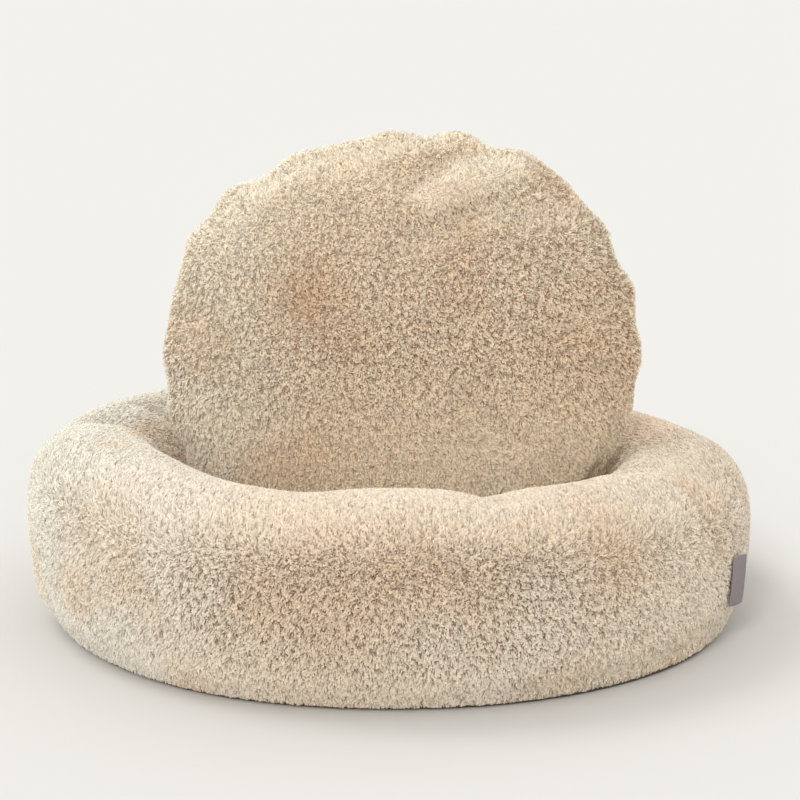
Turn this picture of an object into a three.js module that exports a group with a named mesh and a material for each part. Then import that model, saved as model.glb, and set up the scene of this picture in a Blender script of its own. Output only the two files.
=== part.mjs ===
// Donut pet bed: a filled plush ring on a thin base panel, its round cushion standing upright in
// the hollow between the ring's side walls, and a blank fabric tag on the right-hand side.
// Millimetres, +Z up, +X to the right, -Y to the front. The origin is under the middle of the
// ring, on the surface that the bed stands on. Azimuth runs from +X towards +Y.
import * as THREE from "three";

// Driving sizes
const BASE_THICK = 3; // base panel
const GAP = 0.3; // clearance between pieces that touch
const SEAT_Z = BASE_THICK + GAP; // where the ring and the cushion rest
const BASE_INSET = 3; // base panel edge, inside the ring's outer foot

// Ring sections, every 30 degrees of azimuth: radii and heights of the points that shape them.
// belly is the widest point outside, crest the top, throat the narrowest point of the hollow,
// and the feet are where the underside leaves the base panel.
const RING_COLUMNS = ["belly", "bellyZ", "footOut", "crest", "crestZ", "throat", "throatZ", "footIn"];
const RING_ROWS = [
  [348, 92, 324, 279, 162, 206, 88, 228], // right
  [349, 92, 322, 278, 156, 198, 85, 222],
  [349, 92, 322, 277, 158, 195, 85, 220],
  [346, 92, 322, 276, 164, 194, 85, 220], // back
  [349, 95, 322, 276, 171, 195, 85, 220],
  [349, 104, 322, 277, 177, 198, 86, 222],
  [348, 112, 320, 277, 181, 206, 90, 228], // left
  [347, 112, 319, 277, 185, 198, 88, 222],
  [346, 98, 321, 275, 174, 194, 85, 220],
  [346, 92, 318, 272, 179, 193, 85, 220], // front
  [346, 92, 326, 274, 171, 194, 85, 220],
  [348, 90, 331, 277, 165, 198, 86, 222],
];
const CREST_FULLNESS = 2.5; // superellipse powers: 2 is round, more is squarer
const FOOT_FULLNESS = 2.1;

// Where each stretch of a section ends, in degrees of the way round it from the belly
const AT_CREST = 90;
const AT_THROAT = 180;
const AT_FOOT_IN = 255;
const AT_FOOT_OUT = 285;
const AT_END = 360;

// Creases and dips of the ring: middle and half-width in azimuth and in the way round, and depth
const DENT_COLUMNS = ["azimuth", "way", "azimuthWide", "wayWide", "depth"];
const RING_DENTS = [
  [175, 120, 5, 45, 13], // crease where the cushion's left side presses in
  [160, 128, 4, 30, 5], // small fold behind it
  [290, 94, 5, 26, 10], // dip in the front crest
  [254, 92, 8, 26, 5],
  [331, 122, 5, 30, 8], // crease by the cushion's right side
  [2, 140, 6, 30, 6],
];

// Cushion: outline radius every 20 degrees, from its right-hand side upwards
const CUSHION_RADII = [
  234, 237, 240, 239, 229, 227, 230, 241, 235, 231, 229, 228, 228, 231, 231, 225, 220, 226,
];
const CUSHION_MIDDLE = new THREE.Vector3(13, 8, 229);
const CUSHION_LEAN = 6; // degrees, top backwards
const CUSHION_TURN = 5; // degrees, face towards the right
const CROWN_FRONT = 52; // from the seam to the middle of each face
const CROWN_BACK = 50;
const CROWN_FULLNESS = 2.4;
const SEAM_DRAW = 5; // how far the edge seam pulls in, and how wide that groove is
const SEAM_WIDE = 7;
const PUCKER_RISE = 1.4; // small gathers along the seam
const PUCKER_COUNTS = [11, 17];

// Folds of the cushion's faces, in its own plane from its middle: ridges up, troughs down
const FOLD_COLUMNS = ["x1", "z1", "x2", "z2", "rise", "wide"];
const FRONT_FOLDS = [
  [28, 163, 118, 198, 6, 13], // ridge from the upper right edge
  [-5, 186, 112, 214, -5, 12],
  [5, 122, 92, 160, -5, 15],
  [112, 150, 178, 168, -6, 16],
  [52, -32, 100, -72, -5, 14], // crease low on the right
  [150, 40, 214, 62, -4, 16],
  [-205, 60, -150, 20, -3, 20],
  [-120, 70, -60, 66, -3, 26],
];
const BACK_FOLDS = [
  [-150, 120, -40, 60, -4, 18],
  [40, 180, 110, 90, -4, 16],
  [60, -60, 160, -20, -4, 20],
];

// Side tag: a short tab sewn in upright and lying along the ring
const TAG_AZIMUTH = -27;
const TAG_WAY_LOW = 330;
const TAG_WAY_TOP = 358;
const TAG_WIDE = 22;
const TAG_THICK = 1.2;
const TAG_FLARE = 9; // degrees that its free edge stands off the ring
const TAG_CURL = 1.5;

// Fabrics
const FABRICS = {
  ringPlush: { color: 0xe6dac6, roughness: 0.95, metalness: 0 },
  cushionPlush: { color: 0xdcc6a8, roughness: 0.95, metalness: 0 },
  baseCloth: { color: 0x9e948a, roughness: 0.9, metalness: 0 },
  tagRibbon: { color: 0x8c8484, roughness: 0.8, metalness: 0 },
};

// Grid steps
const RING_STEPS = 96;
const SECTION_STEPS = 24;
const CUSHION_STEPS = 72;
const CROWN_STEPS = 24;
const TAG_STEPS_WIDE = 4;
const TAG_STEPS_TALL = 6;

const rad = THREE.MathUtils.degToRad;

// Value at a place on a closed row of evenly spaced values, on a smooth curve through them
function around(values, degrees) {
  const count = values.length;
  const place = degrees / (360 / count);
  const start = Math.floor(place);
  const t = place - start;
  const pick = (step) => values[(((start + step) % count) + count) % count];
  const [a, b, c, d] = [pick(-1), pick(0), pick(1), pick(2)];
  const rise = (c - a) * t;
  const bend = (2 * a - 5 * b + 4 * c - d) * t * t;
  const twist = (3 * b - a - 3 * c + d) * t * t * t;
  return 0.5 * (2 * b + rise + bend + twist);
}

// The two shares of a quarter superellipse, at a fraction of the way from its side to its top
function quarter(fraction, fullness) {
  const angle = rad(90 * fraction);
  const across = Math.cos(angle);
  const up = Math.sin(angle);
  const scale = (across ** fullness + up ** fullness) ** (-1 / fullness);
  return [across * scale, up * scale];
}

// Signed angle between two azimuths
function turn(from, to) {
  return ((((from - to + 180) % 360) + 360) % 360) - 180;
}

// Named values of a row
function named(columns, row) {
  return Object.fromEntries(columns.map((column, index) => [column, row[index]]));
}

// The ring's section values at one azimuth
function sectionAt(azimuth) {
  const values = RING_COLUMNS.map((column, index) => around(RING_ROWS.map((row) => row[index]), azimuth));
  return named(RING_COLUMNS, values);
}

// Radius and height of the undented section: belly, crest, throat, inner foot, outer foot
function sectionPoint(section, way) {
  const { belly, bellyZ, footOut, crest, crestZ, throat, throatZ, footIn } = section;
  if (way < AT_CREST) {
    const [across, up] = quarter(way / AT_CREST, CREST_FULLNESS);
    return [crest + (belly - crest) * across, bellyZ + (crestZ - bellyZ) * up];
  }
  if (way < AT_THROAT) {
    const [across, up] = quarter((AT_THROAT - way) / (AT_THROAT - AT_CREST), CREST_FULLNESS);
    return [crest - (crest - throat) * across, throatZ + (crestZ - throatZ) * up];
  }
  if (way < AT_FOOT_IN) {
    const [across, down] = quarter((way - AT_THROAT) / (AT_FOOT_IN - AT_THROAT), FOOT_FULLNESS);
    return [footIn - (footIn - throat) * across, throatZ - (throatZ - SEAT_Z) * down];
  }
  if (way < AT_FOOT_OUT) {
    return [footIn + ((footOut - footIn) * (way - AT_FOOT_IN)) / (AT_FOOT_OUT - AT_FOOT_IN), SEAT_Z];
  }
  const [across, down] = quarter((AT_END - way) / (AT_END - AT_FOOT_OUT), FOOT_FULLNESS);
  return [footOut + (belly - footOut) * across, bellyZ - (bellyZ - SEAT_Z) * down];
}

// How deep the dents are at a place: a soft round hollow for each row
function dentDepth(azimuth, way) {
  let depth = 0;
  for (const row of RING_DENTS) {
    const dent = named(DENT_COLUMNS, row);
    const along = turn(azimuth, dent.azimuth) / dent.azimuthWide;
    const round = (way - dent.way) / dent.wayWide;
    depth += dent.depth * Math.exp(-along * along - round * round);
  }
  return depth;
}

// A point of the ring: its section point, pushed towards the middle of the filling by the dents
function ringPoint(azimuth, way) {
  const section = sectionAt(azimuth);
  const [radius, height] = sectionPoint(section, way);
  const fromMiddle = new THREE.Vector2(radius - section.crest, height - (section.crestZ + SEAT_Z) / 2);
  fromMiddle.setLength(dentDepth(azimuth, way));
  const r = radius - fromMiddle.x;
  const z = Math.max(height - fromMiddle.y, SEAT_Z);
  return new THREE.Vector3(r * Math.cos(rad(azimuth)), r * Math.sin(rad(azimuth)), z);
}

// Height of a face's folds at a place in its plane: a soft ridge or trough along each line
function foldRise(rows, x, z) {
  let rise = 0;
  for (const row of rows) {
    const fold = named(FOLD_COLUMNS, row);
    const line = new THREE.Vector2(fold.x2 - fold.x1, fold.z2 - fold.z1);
    const toPoint = new THREE.Vector2(x - fold.x1, z - fold.z1);
    const share = THREE.MathUtils.clamp(toPoint.dot(line) / line.lengthSq(), 0, 1);
    const away = toPoint.addScaledVector(line, -share).length() / fold.wide;
    rise += fold.rise * Math.exp(-away * away);
  }
  return rise;
}

// A point of the cushion: side is -90 at the middle of the front face, 0 at the seam, 90 behind
function cushionPoint(angle, side) {
  const front = side < 0;
  const [across, out] = quarter(Math.abs(side) / 90, CROWN_FULLNESS);
  const crown = (front ? CROWN_FRONT : CROWN_BACK) * out;
  const groove = Math.exp(-((crown / SEAM_WIDE) ** 2));
  const gathers = PUCKER_COUNTS.reduce((sum, count) => sum + Math.cos(rad(count * angle)), 0);
  const drawn = (SEAM_DRAW + PUCKER_RISE * gathers) * groove;
  const radius = around(CUSHION_RADII, angle) * across - drawn * Math.min(1, across);
  const x = radius * Math.cos(rad(angle));
  const z = radius * Math.sin(rad(angle));
  const folded = crown + foldRise(front ? FRONT_FOLDS : BACK_FOLDS, x, z) * out;
  const point = new THREE.Vector3(x, front ? -folded : folded, z);
  point.applyEuler(new THREE.Euler(rad(-CUSHION_LEAN), 0, rad(CUSHION_TURN), "ZXY"));
  point.add(CUSHION_MIDDLE);
  point.z = Math.max(point.z, SEAT_Z);
  return point;
}

// Mesh geometry from points and triangles
function solid(points, triangles) {
  const geometry = new THREE.BufferGeometry();
  geometry.setAttribute("position", new THREE.Float32BufferAttribute(points.flatMap((p) => p.toArray()), 3));
  geometry.setIndex(triangles);
  geometry.computeVertexNormals();
  return geometry;
}

// Two triangles over a grid cell
function cell(a, b, c, d) {
  return [a, b, c, a, c, d];
}

// The ring: sections joined round the circle, closed both ways
function ringGeometry() {
  const points = [];
  const triangles = [];
  for (let i = 0; i < RING_STEPS; i++) {
    for (let j = 0; j < SECTION_STEPS; j++) {
      points.push(ringPoint((360 * i) / RING_STEPS, (360 * j) / SECTION_STEPS));
      const nextI = (i + 1) % RING_STEPS;
      const nextJ = (j + 1) % SECTION_STEPS;
      const at = (column, row) => column * SECTION_STEPS + row;
      triangles.push(...cell(at(i, j), at(nextI, j), at(nextI, nextJ), at(i, nextJ)));
    }
  }
  return solid(points, triangles);
}

// The cushion: rings of points from the front middle over the seam to the back middle
function cushionGeometry() {
  const points = [cushionPoint(0, -90)];
  const triangles = [];
  const at = (column, row) => 1 + (row - 1) * CUSHION_STEPS + (column % CUSHION_STEPS);
  for (let j = 1; j < CROWN_STEPS; j++) {
    for (let i = 0; i < CUSHION_STEPS; i++) {
      points.push(cushionPoint((360 * i) / CUSHION_STEPS, -90 + (180 * j) / CROWN_STEPS));
    }
  }
  const back = points.push(cushionPoint(0, 90)) - 1;
  for (let i = 0; i < CUSHION_STEPS; i++) {
    triangles.push(0, at(i, 1), at(i + 1, 1));
    for (let j = 1; j < CROWN_STEPS - 1; j++) {
      triangles.push(...cell(at(i, j), at(i, j + 1), at(i + 1, j + 1), at(i + 1, j)));
    }
    triangles.push(at(i + 1, CROWN_STEPS - 1), at(i, CROWN_STEPS - 1), back);
  }
  return solid(points, triangles);
}

// The base panel: flat, its edge just inside the ring's outer foot
function baseGeometry() {
  const shape = new THREE.Shape();
  for (let i = 0; i < RING_STEPS; i++) {
    const azimuth = (360 * i) / RING_STEPS;
    const radius = sectionAt(azimuth).footOut - BASE_INSET;
    const point = [radius * Math.cos(rad(azimuth)), radius * Math.sin(rad(azimuth))];
    if (i === 0) {
      shape.moveTo(...point);
    } else {
      shape.lineTo(...point);
    }
  }
  shape.closePath();
  return new THREE.ExtrudeGeometry(shape, { depth: BASE_THICK, bevelEnabled: false });
}

// The ring's outward direction at a place
function ringOutward(azimuth, way) {
  const step = 0.5;
  const along = ringPoint(azimuth + step, way).sub(ringPoint(azimuth - step, way));
  const round = ringPoint(azimuth, way + step).sub(ringPoint(azimuth, way - step));
  return along.cross(round).normalize();
}

// A point of the tag: across from its sewn edge, up from its lower end, side -1 or 1 of its cloth
function tagPoint(across, up, side) {
  const way = TAG_WAY_LOW + (TAG_WAY_TOP - TAG_WAY_LOW) * up;
  const outward = ringOutward(TAG_AZIMUTH, way);
  const along = new THREE.Vector3(-Math.sin(rad(TAG_AZIMUTH)), Math.cos(rad(TAG_AZIMUTH)), 0);
  const flare = rad(TAG_FLARE);
  const reach = TAG_WIDE * across;
  const off = reach * Math.sin(flare) + TAG_CURL * across * across;
  const point = ringPoint(TAG_AZIMUTH, way);
  point.addScaledVector(outward, GAP + TAG_THICK / 2 + off + (side * TAG_THICK) / 2);
  point.addScaledVector(along, reach * Math.cos(flare));
  return point;
}

// The tag: an outer and an inner sheet of points, closed along their shared edge
function tagGeometry() {
  const points = [];
  const triangles = [];
  const columns = TAG_STEPS_WIDE + 1;
  const rows = TAG_STEPS_TALL + 1;
  const at = (i, j, inner) => (inner ? columns * rows : 0) + j * columns + i;
  for (const side of [1, -1]) {
    for (let j = 0; j < rows; j++) {
      for (let i = 0; i < columns; i++) {
        points.push(tagPoint(i / TAG_STEPS_WIDE, j / TAG_STEPS_TALL, side));
      }
    }
  }
  for (let j = 0; j < TAG_STEPS_TALL; j++) {
    for (let i = 0; i < TAG_STEPS_WIDE; i++) {
      triangles.push(...cell(at(i, j), at(i + 1, j), at(i + 1, j + 1), at(i, j + 1)));
      triangles.push(...cell(at(i, j + 1, 1), at(i + 1, j + 1, 1), at(i + 1, j, 1), at(i, j, 1)));
    }
    const last = TAG_STEPS_WIDE;
    triangles.push(...cell(at(0, j, 1), at(0, j), at(0, j + 1), at(0, j + 1, 1)));
    triangles.push(...cell(at(last, j), at(last, j, 1), at(last, j + 1, 1), at(last, j + 1)));
  }
  for (let i = 0; i < TAG_STEPS_WIDE; i++) {
    const last = TAG_STEPS_TALL;
    triangles.push(...cell(at(i, 0, 1), at(i + 1, 0, 1), at(i + 1, 0), at(i, 0)));
    triangles.push(...cell(at(i, last), at(i + 1, last), at(i + 1, last, 1), at(i, last, 1)));
  }
  return solid(points, triangles);
}

// A named piece with its own fabric
function piece(name, geometry, fabric) {
  const mesh = new THREE.Mesh(geometry, new THREE.MeshStandardMaterial(fabric));
  mesh.name = name;
  return mesh;
}

const bed = new THREE.Group();
bed.name = "donut_pet_bed";
bed.add(piece("bolster_ring", ringGeometry(), FABRICS.ringPlush));
bed.add(piece("inner_cushion", cushionGeometry(), FABRICS.cushionPlush));
bed.add(piece("base_panel", baseGeometry(), FABRICS.baseCloth));
bed.add(piece("side_tag", tagGeometry(), FABRICS.tagRibbon));

export default bed;
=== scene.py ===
"""Donut pet bed: a filled plush ring on a thin base cloth, its round cushion standing upright in
the ring's hollow, and a blank tag sewn into the ring's right side.

+Z is up, +X to the right and -Y to the front. Shapes are functions of two parameters in
millimetres, worked out with numpy over whole grids, and become metres as a mesh is made. The ring
and the cushion are each a fabric skin with short pile planted on it.
"""

import math

import bpy
import numpy as np
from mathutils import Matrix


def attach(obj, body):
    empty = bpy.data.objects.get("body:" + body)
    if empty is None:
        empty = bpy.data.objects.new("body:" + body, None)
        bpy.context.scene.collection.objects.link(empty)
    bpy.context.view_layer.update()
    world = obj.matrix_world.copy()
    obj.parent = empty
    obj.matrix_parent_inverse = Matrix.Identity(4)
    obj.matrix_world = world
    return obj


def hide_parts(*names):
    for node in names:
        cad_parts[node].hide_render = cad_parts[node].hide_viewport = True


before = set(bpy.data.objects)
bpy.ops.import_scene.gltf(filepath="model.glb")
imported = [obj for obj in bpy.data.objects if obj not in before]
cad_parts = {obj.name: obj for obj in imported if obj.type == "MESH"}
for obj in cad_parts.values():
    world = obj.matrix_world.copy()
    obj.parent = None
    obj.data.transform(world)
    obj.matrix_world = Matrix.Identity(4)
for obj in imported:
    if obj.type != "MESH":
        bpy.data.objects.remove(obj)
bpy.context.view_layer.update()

MM = 0.001
BODY = "root"

# Sizes of the bed, in millimetres and degrees
BASE_THICK = 3.0
GAP = 0.3  # clearance between pieces that touch
SEAT_Z = BASE_THICK + GAP
BASE_INSET = 3.0  # base cloth edge, inside the ring's outer foot

# Ring sections every 30 degrees of azimuth, from +X towards +Y
BELLY = (348, 349, 349, 346, 349, 349, 348, 347, 346, 346, 346, 348)
BELLY_Z = (92, 92, 92, 92, 95, 104, 112, 112, 98, 92, 92, 90)
FOOT_OUT = (324, 322, 322, 322, 322, 322, 320, 319, 321, 318, 326, 331)
CREST = (279, 278, 277, 276, 276, 277, 277, 277, 275, 272, 274, 277)
CREST_Z = (162, 156, 158, 164, 171, 177, 181, 185, 174, 179, 171, 165)
THROAT = (206, 198, 195, 194, 195, 198, 206, 198, 194, 193, 194, 198)
THROAT_Z = (88, 85, 85, 85, 85, 86, 90, 88, 85, 85, 85, 86)
FOOT_IN = (228, 222, 220, 220, 220, 222, 228, 222, 220, 220, 220, 222)
CREST_FULLNESS, FOOT_FULLNESS = 2.5, 2.1  # superellipse powers
AT_CREST, AT_THROAT, AT_FOOT_IN, AT_FOOT_OUT, AT_END = 90, 180, 255, 285, 360

# Creases and dips of the ring: azimuth, way round the section, half-widths of both, depth
RING_DENTS = (
    (175, 120, 5, 45, 13),
    (160, 128, 4, 30, 5),
    (290, 94, 5, 26, 10),
    (254, 92, 8, 26, 5),
    (331, 122, 5, 30, 8),
    (2, 140, 6, 30, 6),
)

# Cushion outline radius every 20 degrees, from its right side upwards
CUSHION_RADII = (
    234, 237, 240, 239, 229, 227, 230, 241, 235, 231, 229, 228, 228, 231, 231, 225, 220, 226,
)
CUSHION_MIDDLE = (13, 8, 229)
CUSHION_LEAN, CUSHION_TURN = 6, 5  # top backwards, face towards the right
CROWN_FRONT, CROWN_BACK, CROWN_FULLNESS = 52, 50, 2.4
SEAM_DRAW, SEAM_WIDE = 2, 7
PUCKER_RISE, PUCKER_COUNTS = 1.4, (11, 17)
LOBE_RISE, LOBE_WIDE, LOBE_COUNTS = 2.3, 20, (19, 25)  # soft lobes of the plush along the seam

# Folds of the cushion's faces: the ends of a line in the cushion's plane, rise and half-width
FRONT_FOLDS = (
    (28, 163, 118, 198, 6, 13),
    (-5, 186, 112, 214, -5, 12),
    (5, 122, 92, 160, -5, 15),
    (112, 150, 178, 168, -6, 16),
    (52, -32, 100, -72, -5, 14),
    (150, 40, 214, 62, -4, 16),
    (-205, 60, -150, 20, -3, 20),
    (-120, 70, -60, 66, -3, 26),
)
BACK_FOLDS = (
    (-150, 120, -40, 60, -4, 18),
    (40, 180, 110, 90, -4, 16),
    (60, -60, 160, -20, -4, 20),
)

# The pile evens out what lies under it, so the skin's folds and dents are cut deeper
FOLD_SHARP, DENT_SHARP = 2.0, 1.3

# Side tag
TAG_AZIMUTH, TAG_WAY_LOW, TAG_WAY_TOP = -27, 330, 358
TAG_WIDE, TAG_THICK, TAG_FLARE, TAG_CURL = 22, 1.2, 9, 1.5
TAG_END = 0.02  # share of its thickness left at its foot and head
TAG_STEPS, TAG_FLAT_STEPS = 30, 12

# Skins and filling
PILE_DEEP = 4.0  # from the skin to the outside of the pile
SWELL = 3.0  # how far the filling pushes the skin out, about
RIM_SWELL = (0.2, 0.8)  # shares of the normal to front or back by which it comes in
SOLE_LIFT = 0.15  # share of both by which the skin is lifted where it rests
MOST_SWELL, MOST_SHIFT = 7.0, 4.0  # at most, out of and along the skin
VOXEL = 6.5
SPARE_CLOTH = 0.01  # share by which the skin is cut large
RING_PRESSURE, CUSHION_PRESSURE, CLOTH_STEPS = 4.0, 1.0, 20
RING_GRID, CUSHION_GRID = (288, 96), (180, 60)  # steps round and across, before remeshing
BASE_STEPS, BASE_RINGS, RIM_STEPS = 144, 12, 7

# Pile. A spread is the least and the most, as shares
PILE = dict(
    deep=3.7,  # how far a strand stands up
    deep_spread=(0.75, 1.05),
    sweep=1.1,  # how far it leans over, as a share of deep
    sweep_spread=(0.6, 1.4),
    wide=1.5,
    wide_spread=(0.75, 1.25),
    twist=0.5,  # at most, about its length, in radians
    blunt=0.5,  # share of the strands that widen towards their tip
    swirl=0.06,  # slow turns of the nap, and their length
    swirl_long=70.0,
    eddy=0.4,  # quick turns of the nap, which part it into tufts, and their length
    eddy_long=7.5,
    stray=0.28,  # each strand's own turn
    clump=0.25,  # share by which tips draw together, and the width of a clump
    clump_wide=3.0,
    flatter=0.25,  # what being pressed takes off the height
    longer=0.3,  # and adds to the lean
    open=0.6,  # painted light: how light the foot of a pressed strand is
    shade=0.03,  # painted shade, what is darker where the pile isn't pressed, and twice that, as the warm spots' own colour, where it is warm
    tone=0.13,  # spread of the strands' own tones, and the darkest and lightest
    tone_ends=(0.6, 1.05),
)
CUSHION_PILE = dict(PILE, clump=0.4, clump_wide=3.5, tone=0.18, open=0.8)
PILE_LOW = 2.6  # no strand reaches lower
PILE_DENSITY = 0.8  # strands on a square millimetre
TWO_WAY_STEP = (0.7548777, 0.5698403)  # spreads points evenly over a square
WAVE_SPREAD = (0.75, 1.33)  # of the waves in a drift
SOLE_SLOPE = -0.93  # no pile grows on the ring where its normal points further down
NAP_TURN = (-0.35, 0.85)  # slopes between which the nap turns from down to up
CUSHION_NAP = (-0.25, 0.0, 1.0)  # the way its pile is brushed near the top
CUSHION_DROOP = 0.15  # its pile hangs this much more than the ring's
RING_PARTS, RING_CUT = 3, -150  # pieces of the ring's pile, and the azimuth where they begin
MAP_CELLS, MAP_MARGIN = 128, 0.1  # of a pile's bake map: cells to a side, and a cell's margin
MAP_REACH = 8.0  # strands that share a cell stand this close

# Seeds of the random draws
RING_SEED, CUSHION_SEED, RING_PILE_SEED, CUSHION_PILE_SEED = 5, 6, 20, 41
WARM_SEED, CLUMP_SEED = 3, 7

# Where the pile is pressed, which also paints light on its strands' feet, or takes a painted
# highlight: a share, and the ends of the smooth step by which it comes in. Slopes are the upward
# share of the skin's normal, and places are in millimetres
RING_PRESSED_AND_LIT = dict(crest=(0.5, 0.15, 0.85), foot=(0.4, -60, -10))
RING_RAISED_AND_DIMMED = (0.5, 290, 345)  # taken off again on the far right, which is left darker as painted shade
RING_ENDS, ENDS_PRESSED_AND_LIT = (100, 280), 0.6  # how far out the ring's ends lie, pressed all over, with painted light
ENDS_RAISED_AND_DIMMED = (0.4, 0.3, 0.9)  # taken off again on their tops, with its painted light
RING_PAINTED_HIGHLIGHT = dict(left=(1.0, 100, 280), right=(0.2, 120, 300))
CUSHION_PRESSED_AND_LIT = dict(upper=(0.3, 0.1, 0.8), top_left=(0.25, 40, 230), bottom=(0.6, -30, 110))
CUSHION_PAINTED_HIGHLIGHT = dict(left=(0.9, 60, 200), top=(0.4, 70, 200))
TOP_LEFT_SLANT = 0.4  # height that a millimetre to the left counts for there
RIM_ENDS, RIM_PAINTED_HIGHLIGHT = (0.4, 0.9), 0.5  # shares of the normal to front or back, past the rim, where a painted highlight falls
RIDGE_PRESSED_AND_LIT, RIDGE_PAINTED_HIGHLIGHT = 6, 8  # height of a ridge that is pressed, with painted light, or takes the painted highlight fully

# Warm spots of the plush: their place, reach and strength
WARM_SPOTS = (
    (-84, -45, 304, 28, 0.8),
    (45, -40, 415, 40, 0.4),
    (200, -40, 250, 50, 0.5),
    (-90, -45, 150, 70, 0.2),
    (30, -340, 130, 40, 0.5),
    (195, -285, 125, 38, 0.5),
    (-250, -225, 120, 55, 0.3),
    (-50, -340, 100, 60, 0.5),
)
DRIFT_WARM, DRIFT_LONG, DRIFT_PEAKS = 0.3, 130.0, (0.3, 2.0)  # and soft warm drifts all over

# Colours as on screen, from 0 to 255. The root colour is painted shade deep in the pile; pale
# serves the paler patches and the painted highlight, and pale_root the foot under the highlight
RING_COLOURS = dict(
    tip=(253, 244, 229),
    warm=(252, 232, 204),
    pale=(253, 250, 242),
    root=(164, 125, 80),
    pale_root=(184, 175, 159),
)
CUSHION_COLOURS = dict(
    tip=(255, 244, 223),
    warm=(252, 230, 202),
    pale=(255, 249, 236),
    root=(182, 132, 82),
    pale_root=(198, 186, 164),
)
# The base cloth's colours are dark as painted contact shadow under the ring; the seat's are its
# own
BASE_SHADOW_COLOURS = dict(cloth=(112, 104, 95), thread=(74, 68, 61))
SEAT_COLOURS = dict(cloth=(233, 218, 195), thread=(206, 188, 160))
TAG_COLOURS = dict(cloth=(160, 151, 152), thread=(132, 124, 125))
FLOOR_COLOUR, BACKDROP_COLOUR = (211, 209, 205), (244, 242, 238)

# Finishes
TIP_FULL = 0.7  # share of a strand's length from which it has the tip's colour
SKIN_TIP = 0.5  # the skin's place between the colours of root and tip, half in the root's painted shade
GLOW = 0.5  # share of the light that comes through the strands
PLUSH_PATCHES = dict(scale=7.5, detail=2.0, low=0.45, high=0.75, share=0.35)
CLOTH_PATCHES = dict(scale=30.0, detail=3.0, low=0.35, high=0.7, share=0.35)
BASE_PITCH, TAG_PITCH, TAG_SLANT = 420.0, 900.0, 0.5  # of the weave, and its turn in radians
THREAD_GAP = 0.6  # height of the weave below which its gaps darken
SEAT_EDGE, SEAT_LEVEL = (0.25, 0.28), (0.001, 0.002)  # of the hollow's colours, in metres

# Camera and light: places in metres, lens and film in millimetres, angles in degrees
CAMERA_PLACE = (0.0103, -1.957, 0.609)
CAMERA_LOOKS_AT = (0.0103, 0.0, 0.198)
CAMERA_LENS, CAMERA_FILM = 93.3, 36.0
FAR = 200.0
FLOOR_HALF = 60.0
HORIZON_LEVEL, ZENITH_LEVEL, RIGHT_LEVEL = 1.24, 1.0, 0.9  # of the dome's light
DOME_UP, DOME_RIGHT = (-0.1, 1.0), (0.4, 1.0)  # where it changes, upwards and to the right
SUNS = (  # name, strength, width, turns about X, Y and Z
    ("sun from the left", 0.7, 24, (-14, -30, 0)),
    ("sun from the front", 0.85, 14, (55, 0, -20)),
)


# Shapes
def around(values, degrees):
    """Smooth closed curve through evenly spaced values: the Catmull-Rom cubic between each two."""
    values = np.asarray(values, float)
    place = np.asarray(degrees, float) * len(values) / 360
    start = np.floor(place).astype(int)
    t = place - start
    a, b, c, d = (values[(start + step) % len(values)] for step in (-1, 0, 1, 2))
    bend = (2 * a - 5 * b + 4 * c - d) * t**2 + (3 * b - a - 3 * c + d) * t**3
    return 0.5 * (2 * b + (c - a) * t + bend)


def quarter(fraction, fullness):
    """Cosine and sine of 90 degrees times the fraction, both divided by the fullness-norm of the
    pair, so that they run along a quarter superellipse."""
    angle = np.radians(90 * np.clip(fraction, 0, 1))
    across, up = np.cos(angle), np.sin(angle)
    scale = (across**fullness + up**fullness) ** (-1 / fullness)
    return across * scale, up * scale


def unit(vectors):
    """Each vector divided by its length."""
    return vectors / np.maximum(np.linalg.norm(vectors, axis=-1, keepdims=True), 1e-9)


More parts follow.
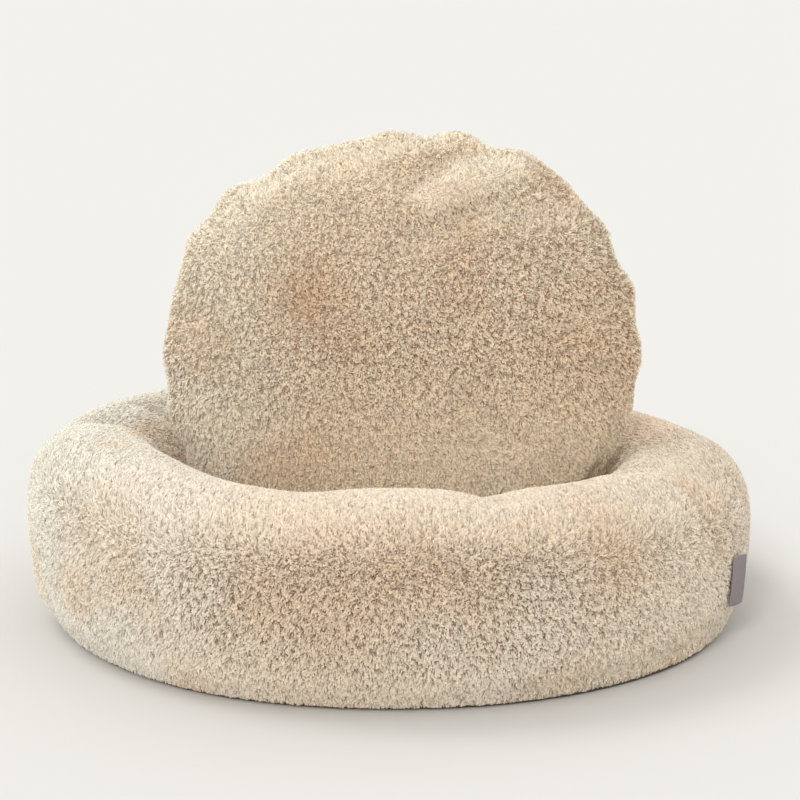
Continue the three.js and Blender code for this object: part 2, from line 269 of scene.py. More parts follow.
def ring_surface(azimuth, way):
    """Point of the ring at an azimuth and a way round its section. The section is four quarter
    superellipses, from belly to crest to throat to inner foot and back from the outer foot to the
    belly, joined by a flat sole. Each dent pushes it towards the middle of the filling by its
    depth times a Gaussian of the two distances from the dent."""
    way = np.asarray(way, float) % AT_END
    belly, belly_z, foot_out, crest, crest_z, throat, throat_z, foot_in = (
        around(row, azimuth)
        for row in (BELLY, BELLY_Z, FOOT_OUT, CREST, CREST_Z, THROAT, THROAT_Z, FOOT_IN)
    )
    upper_out = quarter(way / AT_CREST, CREST_FULLNESS)
    upper_in = quarter((AT_THROAT - way) / (AT_THROAT - AT_CREST), CREST_FULLNESS)
    lower_in = quarter((way - AT_THROAT) / (AT_FOOT_IN - AT_THROAT), FOOT_FULLNESS)
    lower_out = quarter((AT_END - way) / (AT_END - AT_FOOT_OUT), FOOT_FULLNESS)
    sole = (way - AT_FOOT_IN) / (AT_FOOT_OUT - AT_FOOT_IN)
    stretch = [way < AT_CREST, way < AT_THROAT, way < AT_FOOT_IN, way < AT_FOOT_OUT]
    radius = np.select(
        stretch,
        [
            crest + (belly - crest) * upper_out[0],
            crest - (crest - throat) * upper_in[0],
            foot_in - (foot_in - throat) * lower_in[0],
            foot_in + (foot_out - foot_in) * sole,
        ],
        foot_out + (belly - foot_out) * lower_out[0],
    )
    height = np.select(
        stretch,
        [
            belly_z + (crest_z - belly_z) * upper_out[1],
            throat_z + (crest_z - throat_z) * upper_in[1],
            throat_z - (throat_z - SEAT_Z) * lower_in[1],
            SEAT_Z + 0 * way,
        ],
        belly_z - (belly_z - SEAT_Z) * lower_out[1],
    )
    depth = 0.0
    for dent_azimuth, dent_way, azimuth_wide, way_wide, deep in RING_DENTS:
        along = ((azimuth - dent_azimuth + 180) % 360 - 180) / azimuth_wide
        over = (way - dent_way) / way_wide
        depth = depth + DENT_SHARP * deep * np.exp(-(along**2) - over**2)
    out, up = radius - crest, height - (crest_z + SEAT_Z) / 2
    length = np.hypot(out, up)
    radius = radius - out / length * depth
    height = np.maximum(height - up / length * depth, SEAT_Z)
    turn = np.radians(azimuth)
    return np.stack([radius * np.cos(turn), radius * np.sin(turn), height], -1)


def fold_rise(folds, x, z):
    """Sum over the folds of the rise times a Gaussian of the distance to the fold's line."""
    rise = 0.0
    for x1, z1, x2, z2, high, wide in folds:
        along = np.array([x2 - x1, z2 - z1], float)
        share = ((x - x1) * along[0] + (z - z1) * along[1]) / (along @ along)
        share = np.clip(share, 0, 1)
        away = np.hypot(x - x1 - share * along[0], z - z1 - share * along[1])
        rise = rise + high * np.exp(-((away / wide) ** 2))
    return rise


def cushion_surface(angle, side):
    """Point of the cushion at an angle round its outline and a side from -90 at the middle of the
    front face, over 0 at the seam, to 90 behind. Each half is a quarter superellipse from the
    seam to the crown. The seam is drawn in by a Gaussian groove, deeper and shallower by two
    cosines for the gathers, and two more in a wider Gaussian swell it to soft lobes. The folds
    add to the crown, and the whole is then leant and turned."""
    front = side < 0
    across, out = quarter(np.abs(side) / 90, CROWN_FULLNESS)
    crown = np.where(front, CROWN_FRONT, CROWN_BACK) * out
    gathers = sum(np.cos(np.radians(count * angle)) for count in PUCKER_COUNTS)
    drawn = (SEAM_DRAW + PUCKER_RISE * gathers) * np.exp(-((crown / SEAM_WIDE) ** 2))
    lobes = sum(np.cos(np.radians(count * (angle + count))) for count in LOBE_COUNTS)
    drawn = drawn - LOBE_RISE * lobes * np.exp(-((crown / LOBE_WIDE) ** 2))
    radius = around(CUSHION_RADII, angle) * across - drawn * np.minimum(1, across)
    x, z = radius * np.cos(np.radians(angle)), radius * np.sin(np.radians(angle))
    folds = np.where(front, fold_rise(FRONT_FOLDS, x, z), fold_rise(BACK_FOLDS, x, z))
    folded = crown + FOLD_SHARP * folds * out
    point = placed(np.stack([x, np.where(front, -folded, folded), z], -1))
    point[..., 2] = np.maximum(point[..., 2], SEAT_Z)
    return point


def placed(points):
    """Points of the cushion's own frame turned by its lean and turn and moved to its middle."""
    lean, turn = math.radians(-CUSHION_LEAN), math.radians(CUSHION_TURN)
    leaning = np.array(
        [[1, 0, 0], [0, math.cos(lean), -math.sin(lean)], [0, math.sin(lean), math.cos(lean)]]
    )
    turning = np.array(
        [[math.cos(turn), -math.sin(turn), 0], [math.sin(turn), math.cos(turn), 0], [0, 0, 1]]
    )
    return points @ (turning @ leaning).T + np.array(CUSHION_MIDDLE, float)


# Meshes
def make_mesh(name, points, *blocks, smooth=True):
    """Object of a mesh with these points, in metres, and blocks of faces, each block an array
    with as many corners in every face."""
    blocks = [np.asarray(block, np.int32) for block in blocks]
    corners = np.concatenate([block.ravel() for block in blocks])
    sizes = np.concatenate([np.full(len(block), block.shape[1]) for block in blocks])
    mesh = bpy.data.meshes.new(name)
    mesh.vertices.add(len(points))
    mesh.vertices.foreach_set("co", np.asarray(points, np.float32).ravel())
    mesh.loops.add(len(corners))
    mesh.loops.foreach_set("vertex_index", corners)
    mesh.polygons.add(len(sizes))
    mesh.polygons.foreach_set("loop_start", (np.cumsum(sizes) - sizes).astype(np.int32))
    mesh.polygons.foreach_set("use_smooth", np.full(len(sizes), smooth))
    mesh.update(calc_edges=True)
    thing = bpy.data.objects.new(name, mesh)
    bpy.context.scene.collection.objects.link(thing)
    return thing


def add_attribute(thing, name, values):
    """A number at each point of the mesh, for its material to read."""
    layer = thing.data.attributes.new(name, "FLOAT", "POINT")
    layer.data.foreach_set("value", np.asarray(values, np.float32))


def add_bake_map(thing, places):
    """A map for baking, with a place for each corner of the mesh."""
    layer = thing.data.uv_layers.new(name="OFBake")
    layer.uv.foreach_set("vector", np.asarray(places, np.float32).ravel())


def wrapped_faces(columns, rows):
    """Quads over a grid of points that is closed both ways."""
    i, j = np.meshgrid(np.arange(columns), np.arange(rows), indexing="ij")
    here, beside = i * rows, (i + 1) % columns * rows
    above = (j + 1) % rows
    return np.stack([here + j, beside + j, beside + above, here + above], -1).reshape(-1, 4)


def capped_grid(points):
    """Points, quads and end triangles of a grid that is closed along its first way. The second
    way runs from pole to pole, and each pole's points become one, their mean."""
    columns, rows = points.shape[:2]
    body = points[:, 1:-1].reshape(-1, 3)
    ends = [points[:, 0].mean(0), points[:, -1].mean(0)]
    inner = rows - 2
    here = np.arange(columns) * inner
    beside = np.roll(here, -1)
    a, b = here[:, None] + np.arange(inner - 1), beside[:, None] + np.arange(inner - 1)
    quads = np.stack([a, a + 1, b + 1, b], -1)
    first, last = len(body) + 0 * here, len(body) + 1 + 0 * here
    fans = np.concatenate(
        [
            np.stack([first, here, beside], -1),
            np.stack([beside + inner - 1, here + inner - 1, last], -1),
        ]
    )
    return np.vstack([body, *ends]), quads.reshape(-1, 4), fans


def point_normals(points, faces):
    """At each point, the sum of the cross products of its faces' diagonals, as a unit vector."""
    corner = points[faces]
    across = np.cross(corner[:, 2] - corner[:, 0], corner[:, 3] - corner[:, 1])
    total = np.zeros_like(points)
    for k in range(faces.shape[1]):
        np.add.at(total, faces[:, k], across)
    return unit(total)


# Pile
def drift(places, wavelength, seed, waves=20):
    """Smooth random vector at each place: for each axis, a sum of sines that run in random
    directions, with wavelengths spread about the one given."""
    rng = np.random.default_rng(seed)
    total = np.zeros((len(places), 3))
    for axis in range(3):
        runs = unit(rng.normal(size=(waves, 3))) * 2 * np.pi / wavelength
        runs *= rng.uniform(*WAVE_SPREAD, (waves, 1))
        total[:, axis] = np.sin(places @ runs.T + rng.uniform(0, 2 * np.pi, waves)).sum(1)
    return total * math.sqrt(2 / waves)


def planted(points, faces, seed):
    """Roots spread evenly over quads, and the skin's normal there. Each quad holds its area times
    the density, rounded up or down at random. From a random start, each root is one two-way step
    on from the last, wrapped round the quad."""
    rng = np.random.default_rng(seed)
    corner = points[faces]
    area = np.linalg.norm(
        np.cross(corner[:, 2] - corner[:, 0], corner[:, 3] - corner[:, 1]), axis=1
    ) / 2
    count = np.floor(area * PILE_DENSITY + rng.random(len(faces))).astype(int)
    owner = np.repeat(np.arange(len(faces)), count)
    step = np.arange(len(owner)) - np.repeat(np.cumsum(count) - count, count)
    start = rng.random((len(faces), 2))[owner]
    u, v = ((start + step[:, None] * np.array(TWO_WAY_STEP)) % 1).T[:, :, None]
    weights = [(1 - u) * (1 - v), u * (1 - v), u * v, (1 - u) * v]
    normals = point_normals(points, faces)
    root = sum(w * points[faces[owner, k]] for k, w in enumerate(weights))
    normal = sum(w * normals[faces[owner, k]] for k, w in enumerate(weights))
    return root, unit(normal)


def cells_of(places, wide, shift=0.0):
    """The number of the cell of a cubic lattice that each place lies in."""
    cell = np.floor(places / wide + shift).astype(int)
    cell -= cell.min(0)
    size = cell.max(0) + 1
    key = (cell[:, 0] * size[1] + cell[:, 1]) * size[2] + cell[:, 2]
    return np.unique(key, return_inverse=True)[1].ravel()


def clump_middles(tops, wide, rng):
    """For each strand, the mean of the tops that share its cell of a lattice warped by a drift."""
    owner = cells_of(tops + drift(tops, 4 * wide, CLUMP_SEED) * wide, wide, rng.random(3))
    count = np.bincount(owner)
    middles = np.stack([np.bincount(owner, tops[:, k]) / count for k in range(3)], -1)
    return middles[owner]


def strand_map(root, blunt):
    """A place on the bake map for each corner of the strands. The map is a square of small cells;
    strands that stand together share a cell, and each runs from its foot on the cell's left to
    its tip on the right."""
    rank = np.empty(len(root), int)
    rank[np.argsort(cells_of(root, MAP_REACH), kind="stable")] = np.arange(len(root))
    cell = rank * MAP_CELLS**2 // len(root)
    low, high = MAP_MARGIN, 1 - MAP_MARGIN
    pointed_shape = [[high, 0.5], [low, high], [low, low]]
    blunt_shape = [[low, 0.5], [high, low], [high, high]]
    inside = np.where(blunt[:, None], blunt_shape, pointed_shape)
    return (np.stack([cell % MAP_CELLS, cell // MAP_CELLS], -1)[:, None] + inside) / MAP_CELLS


def pile_of(name, root, normal, brushed, pressed_and_lit, painted_highlight, pile, seed):
    """Strands on the roots, each one triangle. Some taper to their tip and the others widen
    towards it. A strand stands up by the depth of the pile and leans over by the sweep, towards
    where the pile is brushed, turned by slow swirls, quick eddies and a stray of its own. Where it
    is pressed it leans further and stands lower, and its foot is lighter, as painted light;
    elsewhere its tone takes painted shade. Tips draw together in clumps. Each point knows its
    place between foot and tip, and each strand its tone, its warmth and how much painted
    highlight it takes."""
    rng = np.random.default_rng(seed)
    size, deep = len(root), pile["deep"]
    heading = brushed + pile["swirl"] * drift(root, pile["swirl_long"], seed + 1)
    heading = heading + pile["eddy"] * drift(root, pile["eddy_long"], seed + 2)
    heading = heading + pile["stray"] * rng.normal(size=(size, 3))
    lay = unit(heading - (heading * normal).sum(1, keepdims=True) * normal)
    side = np.cross(normal, lay)
    press_and_light = pressed_and_lit[:, None]
    tall = deep * rng.uniform(*pile["deep_spread"], (size, 1)) * (1 - pile["flatter"] * press_and_light)
    long = deep * pile["sweep"] * rng.uniform(*pile["sweep_spread"], (size, 1))
    long = long * (1 + pile["longer"] * press_and_light)
    wide = pile["wide"] * rng.uniform(*pile["wide_spread"], (size, 1))
    twist = rng.uniform(-pile["twist"], pile["twist"], (size, 1))
    edge = (side * np.cos(twist) + normal * np.sin(twist)) * wide / 2
    top = root + normal * tall + lay * long
    drawn = clump_middles(top, pile["clump_wide"], rng) - top
    top += drawn * pile["clump"] * (1 - press_and_light)
    blunt = rng.random((size, 1)) < pile["blunt"]
    points = np.where(
        blunt[:, None],
        np.stack([root, top - edge, top + edge], 1),
        np.stack([top, root + edge, root - edge], 1),
    )
    points = np.maximum(points.reshape(-1, 3), np.array([-np.inf, -np.inf, PILE_LOW]))
    thing = make_mesh(name, points * MM, np.arange(3 * size).reshape(-1, 3))
    # Pressed strands get lighter feet, painted light; the tone of the rest takes painted shade
    foot, tip = pile["open"] * press_and_light, np.ones((size, 1))
    tips = np.where(blunt, np.hstack([foot, tip, tip]), np.hstack([tip, foot, foot]))
    warm = warmth(root)
    own = pile["tone"] * rng.normal(size=size)
    tone = 1 - pile["shade"] * (1 - pressed_and_lit + 2 * warm) + own
    add_attribute(thing, "tip", tips.ravel())
    add_attribute(thing, "tone", np.repeat(np.clip(tone, *pile["tone_ends"]), 3))
    add_attribute(thing, "warm", np.repeat(warm, 3))
    add_attribute(thing, "painted_highlight", np.repeat(painted_highlight, 3))
    add_bake_map(thing, strand_map(root, blunt))
    return thing


def warmth(places):
    """Share of the warm colour: the spots as Gaussians of their distance, and the peaks of a slow
    drift."""
    slow = drift(places, DRIFT_LONG, WARM_SEED)[:, 0]
    total = DRIFT_WARM * smooth_step(slow, *DRIFT_PEAKS)
    for x, y, z, reach, strength in WARM_SPOTS:
        away = np.linalg.norm(places - np.array([x, y, z]), axis=1)
        total += strength * np.exp(-((away / reach) ** 2))
    return np.minimum(total, 1)


def upwards(slope):
    """How far the pile is brushed up, from the upward share of the skin's normal: up where the
    skin faces the sky, down where it faces the floor, and a smooth step between."""
    return 2 * smooth_step(slope, *NAP_TURN) - 1


def smooth_step(values, low, high):
    """0 up to low, 1 from high, and a smooth cubic between them."""
    share = np.clip((values - low) / (high - low), 0, 1)
    return share * share * (3 - 2 * share)


def stepped(values, row):
    """A smooth step of the values between the row's ends, times its share."""
    share, low, high = row
    return share * smooth_step(values, low, high)


# Materials
def linear(colour):
    """Screen colour from 0 to 255 as linear light."""
    share = np.array(colour) / 255
    return (*np.where(share <= 0.04045, share / 12.92, ((share + 0.055) / 1.055) ** 2.4), 1.0)


def new_material(name):
    """A material, its node tree and its shader."""
    material = bpy.data.materials.new(name)
    material.use_nodes = True
    tree = material.node_tree
    return material, tree, tree.nodes["Principled BSDF"]


def add_node(tree, kind, **settings):
    """A new node with its settings."""
    made = tree.nodes.new(kind)
    for name, value in settings.items():
        setattr(made, name, value)
    return made


def feed(tree, made, **inputs):
    """Sets a node's inputs: a socket is linked, anything else is a plain value. An input is given
    by its name, with an underscore for a space, or by n and its number."""
    for name, value in inputs.items():
        key = int(name[1:]) if name[0] == "n" and name[1:].isdigit() else name.replace("_", " ")
        if isinstance(value, bpy.types.NodeSocket):
            tree.links.new(value, made.inputs[key])
        else:
            made.inputs[key].default_value = value
    return made


def mixed(tree, factor, first, second):
    """Colour mix of two colours by a factor."""
    made = add_node(tree, "ShaderNodeMix", data_type="RGBA")
    return feed(tree, made, n0=factor, n6=first, n7=second).outputs[2]


def ramp(tree, value, low, high, top=1.0):
    """Smooth step from 0 at low to the top at high."""
    made = add_node(tree, "ShaderNodeMapRange", interpolation_type="SMOOTHSTEP")
    return feed(tree, made, n0=value, n1=low, n2=high, n3=0.0, n4=top).outputs[0]


def patches(tree, where, scale, detail, low, high, share):
    """Soft patches: a smooth step of noise, up to a share."""
    noise = feed(
        tree, add_node(tree, "ShaderNodeTexNoise"), Vector=where, Scale=scale, Detail=detail
    )
    return ramp(tree, noise.outputs[0], low, high, share)


def plush_material(name, colours):
    """Pile: the colour runs from the root colour at the foot of each strand, painted shade deep in
    the pile, to the tip colour. The tip colour is paler in soft patches and warmer in spots, both
    colours are paler where a painted highlight falls, and each strand has its own tone, with
    painted shade where the pile isn't pressed. Some of the light comes through."""
    tip, warm, pale, root, pale_root = (
        linear(colours[place]) for place in ("tip", "warm", "pale", "root", "pale_root")
    )
    material, tree, shader = new_material(name)
    where = add_node(tree, "ShaderNodeTexCoord").outputs["Object"]
    high, tone, warmer, painted_highlight = (
        add_node(tree, "ShaderNodeAttribute", attribute_name=kept).outputs["Fac"]
        for kept in ("tip", "tone", "warm", "painted_highlight")
    )
    colour = mixed(tree, patches(tree, where, **PLUSH_PATCHES), tip, pale)
    # painted highlight: it pales the tip colour here and the foot colour below
    colour = mixed(tree, painted_highlight, colour, pale)
    colour = mixed(tree, warmer, colour, warm)
    foot = mixed(tree, painted_highlight, root, pale_root)
    # From the foot's painted shade to the tip colour along each strand
    colour = mixed(tree, ramp(tree, high, 0.0, TIP_FULL), foot, colour)
    toned = add_node(tree, "ShaderNodeVectorMath", operation="SCALE")
    colour = feed(tree, toned, Vector=colour, Scale=tone).outputs[0]
    feed(
        tree, shader, Base_Color=colour, Roughness=0.92, Sheen_Weight=0.25, Sheen_Roughness=0.5,
        Specular_IOR_Level=0.15,
    )
    through = feed(tree, add_node(tree, "ShaderNodeBsdfTranslucent"), Color=colour)
    both = feed(
        tree, add_node(tree, "ShaderNodeMixShader"), n0=GLOW, n1=shader.outputs[0],
        n2=through.outputs[0],
    )
    tree.links.new(both.outputs[0], tree.nodes["Material Output"].inputs["Surface"])
    return material


def in_hollow(tree, where, seat, colour):
    """The seat's colour on the upper side in the ring's hollow, and the other colour elsewhere."""
    away = feed(tree, add_node(tree, "ShaderNodeVectorMath", operation="LENGTH"), n0=where)
    inside = mixed(tree, ramp(tree, away.outputs["Value"], *SEAT_EDGE), seat, colour)
    split = feed(tree, add_node(tree, "ShaderNodeSeparateXYZ"), Vector=where)
    return mixed(tree, ramp(tree, split.outputs["Z"], *SEAT_LEVEL), colour, inside)


def cloth_material(name, colours, pitch, runs, slant=0.0, seat=None):
    """Woven cloth: threads run two ways, as sine waves on the object's coordinates. Their product
    darkens the colour in the gaps and raises a bump, and soft patches are worn. The seat gives
    the colours in the ring's hollow."""
    cloth, thread = linear(colours["cloth"]), linear(colours["thread"])
    material, tree, shader = new_material(name)
    where = add_node(tree, "ShaderNodeTexCoord").outputs["Object"]
    if seat:
        cloth = in_hollow(tree, where, linear(seat["cloth"]), cloth)
        thread = in_hollow(tree, where, linear(seat["thread"]), thread)
    turned = feed(tree, add_node(tree, "ShaderNodeMapping"), Vector=where, Rotation=(0, 0, slant))
    waves = []
    for run in runs:
        wave = add_node(tree, "ShaderNodeTexWave", wave_type="BANDS", bands_direction=run)
        feed(tree, wave, Vector=turned.outputs[0], Scale=pitch, Distortion=0.6, Detail=1.0)
        waves.append(wave.outputs["Fac"])
    crossed = add_node(tree, "ShaderNodeMath", operation="MULTIPLY")
    weave = feed(tree, crossed, n0=waves[0], n1=waves[1]).outputs[0]
    worn = mixed(tree, patches(tree, where, **CLOTH_PATCHES), cloth, thread)
    shown = mixed(tree, ramp(tree, weave, 0.0, THREAD_GAP), thread, worn)
    bump = feed(
        tree, add_node(tree, "ShaderNodeBump"), Height=weave, Strength=0.4, Distance=0.0004
    )
    feed(
        tree, shader, Base_Color=shown, Roughness=0.85, Specular_IOR_Level=0.25,
        Normal=bump.outputs[0],
    )
    return material


def dress(thing, material, node_slot, *nodes):
    """Gives a piece its material and body, and hides the nodes that it stands for. The slot is not
    used.
    """
    thing.data.materials.append(material)
    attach(thing, BODY)
    if nodes:
        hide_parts(*nodes)


# Ring and cushion
def ring_skin():
    """Points and quads of the ring's skin before it is filled, inside its outside."""
    azimuth, way = np.meshgrid(
        np.arange(RING_GRID[0]) * 360 / RING_GRID[0],
        np.arange(RING_GRID[1]) * 360 / RING_GRID[1],
        indexing="ij",
    )
    points = ring_surface(azimuth, way).reshape(-1, 3)
    faces = wrapped_faces(*RING_GRID)
    return points - inward(point_normals(points, faces), SWELL), [faces]


def cushion_skin():
    """Points and faces of the cushion's skin before it is filled, inside its outside. The two
    poles take the normals of points beside them."""
    angle, side = np.meshgrid(
        np.arange(CUSHION_GRID[0]) * 360 / CUSHION_GRID[0],
        np.linspace(-90, 90, CUSHION_GRID[1] + 1),
        indexing="ij",
    )
    points, quads, fans = capped_grid(cushion_surface(angle, side))
    normals = point_normals(points, quads)
    normals[-2:] = normals[[0, len(points) - 3]]
    swell = SWELL * smooth_step(np.abs(normals[:, 1:2]), *RIM_SWELL)
    return points - inward(normals, swell), [quads, fans]


def inward(normals, swell):
    """How far the skin lies inside the outside before it is filled: the pile and the swell along
    the normal, but hardly upwards where it rests."""
    level = np.array([-1, -1, -SOLE_LIFT])
    return np.maximum(normals, level) * (PILE_DEEP + swell)


def filled(name, points, faces, pressure):
    """The skin remeshed to even quads and swollen by its filling as cloth under pressure. A point
    moves only outwards, MOST_SWELL at most, and along the skin, MOST_SHIFT at most. Returns its
    points in millimetres and its quads."""
    thing = make_mesh(name + "_cut", points * MM, *faces)
    remesh = thing.modifiers.new("remesh", "REMESH")
    remesh.mode, remesh.voxel_size = "VOXEL", VOXEL * MM
    mesh = settled(thing)
    before = mesh_points(mesh)
    cloth = thing.modifiers.new("cloth", "CLOTH")
    cloth.settings.quality = 4
    cloth.settings.mass = 0.2
    cloth.settings.use_pressure = True
    cloth.settings.uniform_pressure_force = pressure
    cloth.settings.effector_weights.gravity = 0
    cloth.settings.shrink_min = -SPARE_CLOTH
    cloth.collision_settings.use_collision = False
    for step in range(1, CLOTH_STEPS + 1):
        bpy.context.scene.frame_set(step)
    mesh = settled(thing)
    bpy.context.scene.frame_set(1)
    corners = np.empty(len(mesh.polygons) * 4, np.int32)
    mesh.loops.foreach_get("vertex_index", corners)
    faces = corners.reshape(-1, 4)
    moved = mesh_points(mesh) - before
    normals = point_normals(before, faces)
    out = (moved * normals).sum(1, keepdims=True)
    along = moved - normals * out
    length = np.linalg.norm(along, axis=1, keepdims=True)
    along *= np.minimum(1, MOST_SHIFT / np.maximum(length, 1e-6))
    points = before + along + normals * np.clip(out, 0, MOST_SWELL)
    points[:, 2] = np.maximum(points[:, 2], SEAT_Z)
    bpy.data.objects.remove(thing)
    return points, faces


def settled(thing):
    """Makes what the piece's modifiers give its own mesh, and takes them off."""
    graph = bpy.context.evaluated_depsgraph_get()
    mesh = bpy.data.meshes.new_from_object(thing.evaluated_get(graph))
    thing.modifiers.clear()
    thing.data = mesh
    return mesh


def mesh_points(mesh):
    """Points of a mesh in millimetres."""
    places = np.empty(len(mesh.vertices) * 3, np.float32)
    mesh.vertices.foreach_get("co", places)
    return places.reshape(-1, 3).astype(float) / MM


def show_skin(thing):
    """The skin shows between the strands, in a colour between their root's and their tip's, partly
    painted shade.
    """
    for name, value in (("tip", SKIN_TIP), ("tone", 1.0), ("warm", 0.0), ("painted_highlight", 0.0)):
        add_attribute(thing, name, np.full(len(thing.data.vertices), value))


def plant(name, here, lie, pile, seed, material, node_slot):
    """A piece of pile, dressed: the strands that are here, of all whose lie is given."""
    strands = pile_of(name, *(values[here] for values in lie), pile, seed)
    dress(strands, material, node_slot)


def make_ring():
    """The ring: its filled skin and its pile, in RING_PARTS pieces. The pile is brushed up on top
    and down below. It is pressed, its strands' feet painted lighter as painted light, on the
    crest, near the floor and at the ring's ends, but less on their tops and on the far right,
    which is left darker as painted shade. It takes a painted highlight on the left and a little on
    the right."""
    plush = plush_material("ring plush", RING_COLOURS)
    points, faces = filled("ring", *ring_skin(), RING_PRESSURE)
    ring = make_mesh("ring_skin", points * MM, faces)
    show_skin(ring)
    dress(ring, plush, "ring_plush", "bolster_ring")
    root, normal = planted(points, faces, RING_SEED)
    keep = normal[:, 2] > SOLE_SLOPE
    root, normal = root[keep], normal[keep]
    right, slope = root[:, 0], normal[:, 2]
    azimuth = np.arctan2(root[:, 1], right)
    along = np.stack([-np.sin(azimuth), np.cos(azimuth), 0 * azimuth], -1)
    brushed = np.cross(normal, along) * upwards(slope[:, None])
    ends = smooth_step(np.abs(right), *RING_ENDS)
    pressed_and_lit = (
        stepped(slope, RING_PRESSED_AND_LIT["crest"])
        + ends * (ENDS_PRESSED_AND_LIT - stepped(slope, ENDS_RAISED_AND_DIMMED))
        - stepped(right, RING_RAISED_AND_DIMMED)
        + stepped(-root[:, 2], RING_PRESSED_AND_LIT["foot"])
    ).clip(0, 1)
    painted_highlight = stepped(-right, RING_PAINTED_HIGHLIGHT["left"]) + stepped(right, RING_PAINTED_HIGHLIGHT["right"])
    lie = root, normal, brushed, pressed_and_lit, painted_highlight
    part = np.floor((np.degrees(azimuth) - RING_CUT) % 360 / 360 * RING_PARTS)
    for k in range(RING_PARTS):
        plant(f"ring_pile_{k + 1}", part == k, lie, PILE, RING_PILE_SEED + k, plush, "ring_plush")


def make_cushion():
    """The cushion: its filled skin and the pile of its front and its back, brushed up near the
    top and down below. It is pressed, its strands' feet painted lighter as painted light, where it
    faces up, at the top left, at the bottom and along the front's ridges, and takes a painted
    highlight on the left, near the top, at the rim and along the ridges."""
    plush = plush_material("cushion plush", CUSHION_COLOURS)
    points, faces = filled("cushion", *cushion_skin(), CUSHION_PRESSURE)
    cushion = make_mesh("cushion_skin", points * MM, faces)
    show_skin(cushion)
    dress(cushion, plush, "cushion_plush", "inner_cushion")
    root, normal = planted(points, faces, CUSHION_SEED)
    front = normal[:, 1] < 0
    brushed = np.array(CUSHION_NAP) * upwards(normal[:, 2:] - CUSHION_DROOP)
    across, high = root[:, 0] - CUSHION_MIDDLE[0], root[:, 2] - CUSHION_MIDDLE[2]
    ridges = np.where(front, fold_rise(FRONT_FOLDS, across, high), 0).clip(0)
    pressed_and_lit = (
        stepped(normal[:, 2], CUSHION_PRESSED_AND_LIT["upper"])
        + stepped(high - TOP_LEFT_SLANT * across, CUSHION_PRESSED_AND_LIT["top_left"])
        + stepped(-high, CUSHION_PRESSED_AND_LIT["bottom"])
        + ridges / RIDGE_PRESSED_AND_LIT
    ).clip(0, 1)
    rim = 1 - smooth_step(np.abs(normal[:, 1]), *RIM_ENDS)
    painted_highlight = (
        stepped(-across, CUSHION_PAINTED_HIGHLIGHT["left"])
        + stepped(high, CUSHION_PAINTED_HIGHLIGHT["top"])
        + RIM_PAINTED_HIGHLIGHT * rim
        + ridges / RIDGE_PAINTED_HIGHLIGHT
    ).clip(0, 1)
    lie = root, normal, brushed, pressed_and_lit, painted_highlight
    for side, here, seed in (("front", front, 0), ("back", ~front, 1)):
        plant(
            f"cushion_pile_{side}", here, lie, CUSHION_PILE, CUSHION_PILE_SEED + seed, plush,
            "cushion_plush",
        )


# Base cloth and tag
def make_base():
    """Base cloth: a flat disc whose radius follows the ring's outer foot. Its profile runs from
    the middle of its top over a half-round rim to the middle of its underside. Outside the
    hollow its dark colour is painted contact shadow."""
    azimuth = np.arange(BASE_STEPS) * 360 / BASE_STEPS
    radius = around(FOOT_OUT, azimuth) - BASE_INSET
    half = BASE_THICK / 2
    flat = np.linspace(0, 1, BASE_RINGS)
    bend = np.radians(np.linspace(90, -90, RIM_STEPS))
    from_rim = np.concatenate([1 - flat, 0 * bend[1:-1], 1 - flat[::-1]])
    rim_out = np.concatenate([0 * flat, np.cos(bend[1:-1]), 0 * flat]) * half
    height = np.concatenate([0 * flat + half, np.sin(bend[1:-1]) * half, 0 * flat - half]) + half
    across = (radius[:, None] - half) * (1 - from_rim) + rim_out
    turn = np.radians(azimuth)[:, None]
    grid = np.stack([across * np.cos(turn), across * np.sin(turn), height + 0 * across], -1)
    points, quads, fans = capped_grid(grid)
    base = make_mesh("base_cloth", points * MM, quads, fans)
    cloth = cloth_material("base cloth", BASE_SHADOW_COLOURS, BASE_PITCH, "XY", seat=SEAT_COLOURS)
    dress(base, cloth, "base_fabric", "base_panel")


def tag_surface(across, up, off):
    """Point of the tag: its row lies on the ring at a way round the section that runs with up;
    from there it runs round the ring by its width times across, stands off by the flare and a
    curl that grows with the square of across, and by off along the ring's outward direction."""
    way = TAG_WAY_LOW + (TAG_WAY_TOP - TAG_WAY_LOW) * up
    azimuth = TAG_AZIMUTH + 0 * way
    step = 0.5
    along = ring_surface(azimuth + step, way) - ring_surface(azimuth - step, way)
    upward = ring_surface(azimuth, way + step) - ring_surface(azimuth, way - step)
    outward = unit(np.cross(along, upward))
    turn, flare = math.radians(TAG_AZIMUTH), math.radians(TAG_FLARE)
    reach = TAG_WIDE * across
    rise = GAP + TAG_THICK / 2 + reach * math.sin(flare) + TAG_CURL * across**2 + off
    sideways = np.array([-math.sin(turn), math.cos(turn), 0])
    point = ring_surface(azimuth, way) + outward * rise[..., None]
    return point + sideways * (reach * math.cos(flare))[..., None]


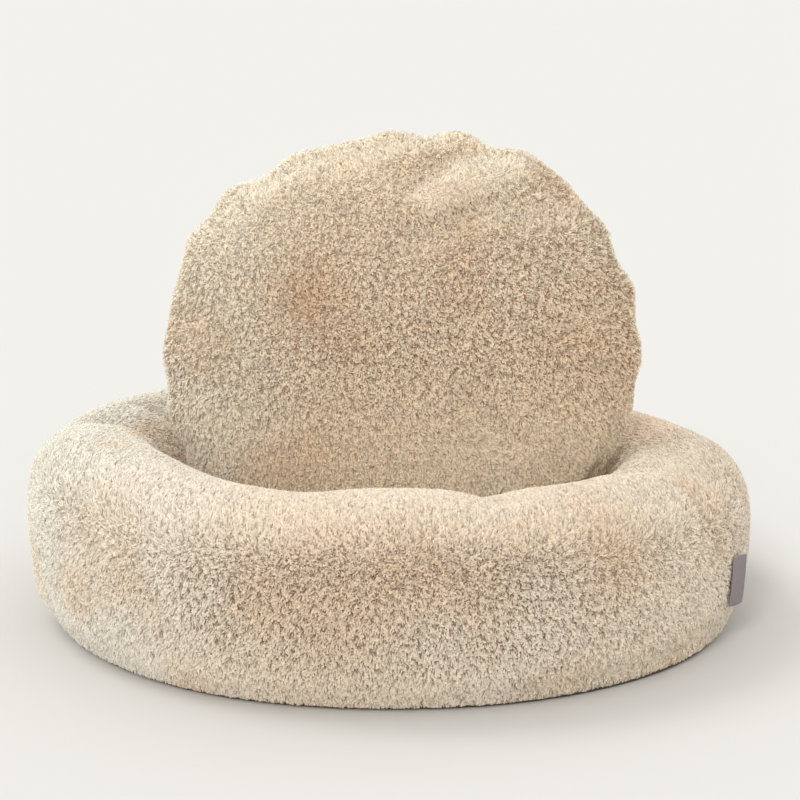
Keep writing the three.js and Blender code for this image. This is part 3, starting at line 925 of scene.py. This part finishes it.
def make_tag():
    """Side tag: a folded ribbon, its section a flat loop with round ends, carried up the ring and
    closed at its foot and head."""
    half = TAG_THICK / 2
    bend = np.radians(np.linspace(-90, 90, RIM_STEPS))
    flat = np.linspace(0, 1, TAG_FLAT_STEPS)[1:-1]
    tip = half / TAG_WIDE
    across = np.concatenate(
        [
            1 - tip + tip * np.cos(bend),
            1 - tip - (1 - 2 * tip) * flat,
            tip - tip * np.cos(bend),
            tip + (1 - 2 * tip) * flat,
        ]
    )
    rim = np.sin(bend) * half
    off = np.concatenate([rim, 0 * flat + half, -rim, 0 * flat - half])
    up = np.linspace(0, 1, TAG_STEPS)
    left = np.array([TAG_END, *np.ones(TAG_STEPS - 2), TAG_END])
    section = across[:, None] + 0 * up
    points = tag_surface(section, up + 0 * section, off[:, None] * left)
    points, quads, fans = capped_grid(points)
    tag = make_mesh("tag_ribbon", points * MM, quads, fans)
    ribbon = cloth_material("tag ribbon", TAG_COLOURS, TAG_PITCH, "XZ", slant=TAG_SLANT)
    dress(tag, ribbon, "tag_fabric", "side_tag")
    foot, head = tag_surface(np.array([0.5, 0.5]), np.array([0.0, 1.0]), np.zeros(2))


# Floor, light and camera
def make_floor():
    """A wide pale floor."""
    points = np.array([[-1, -1, 0], [1, -1, 0], [1, 1, 0], [-1, 1, 0]], float) * FLOOR_HALF
    floor = make_mesh("floor", points, [[0, 1, 2, 3]], smooth=False)
    material, tree, shader = new_material("floor paper")
    feed(tree, shader, Base_Color=linear(FLOOR_COLOUR), Roughness=0.9, Specular_IOR_Level=0.0)
    floor.data.materials.append(material)


def grey(level):
    """A grey of this strength of light."""
    return level, level, level, 1.0


def make_light():
    """Soft studio light: a dome that is weaker overhead and on the right, and two soft suns. The
    camera sees a plain backdrop in the dome's place."""
    world = bpy.data.worlds.new("studio")
    bpy.context.scene.world = world
    world.use_nodes = True
    tree = world.node_tree
    where = add_node(tree, "ShaderNodeTexCoord").outputs["Generated"]
    split = feed(tree, add_node(tree, "ShaderNodeSeparateXYZ"), Vector=where)
    up = ramp(tree, split.outputs["Z"], *DOME_UP)
    right = ramp(tree, split.outputs["X"], *DOME_RIGHT)
    seen = add_node(tree, "ShaderNodeLightPath").outputs["Is Camera Ray"]
    colour = mixed(tree, up, grey(HORIZON_LEVEL), grey(ZENITH_LEVEL))
    colour = mixed(tree, right, colour, grey(RIGHT_LEVEL))
    colour = mixed(tree, seen, colour, linear(BACKDROP_COLOUR))
    feed(tree, tree.nodes["Background"], Color=colour, Strength=1.0)
    for name, energy, wide, turns in SUNS:
        sun = bpy.data.lights.new(name, "SUN")
        sun.energy = energy
        sun.angle = math.radians(wide)
        lamp = bpy.data.objects.new(name, sun)
        bpy.context.scene.collection.objects.link(lamp)
        lamp.rotation_euler = [math.radians(turn) for turn in turns]


def make_camera():
    """The camera at the photograph's angle, looking at the middle of the bed."""
    data = bpy.data.cameras.new("camera")
    data.lens, data.sensor_width = CAMERA_LENS, CAMERA_FILM
    data.clip_end = FAR
    camera = bpy.data.objects.new("camera", data)
    bpy.context.scene.collection.objects.link(camera)
    camera.location = CAMERA_PLACE
    drop = math.atan2(
        CAMERA_PLACE[2] - CAMERA_LOOKS_AT[2], CAMERA_LOOKS_AT[1] - CAMERA_PLACE[1]
    )
    camera.rotation_euler = (math.pi / 2 - drop, 0, 0)
    bpy.context.scene.camera = camera


make_ring()
make_cushion()
make_base()
make_tag()
make_floor()
make_light()
make_camera()
bpy.context.scene.view_settings.view_transform = "Standard"
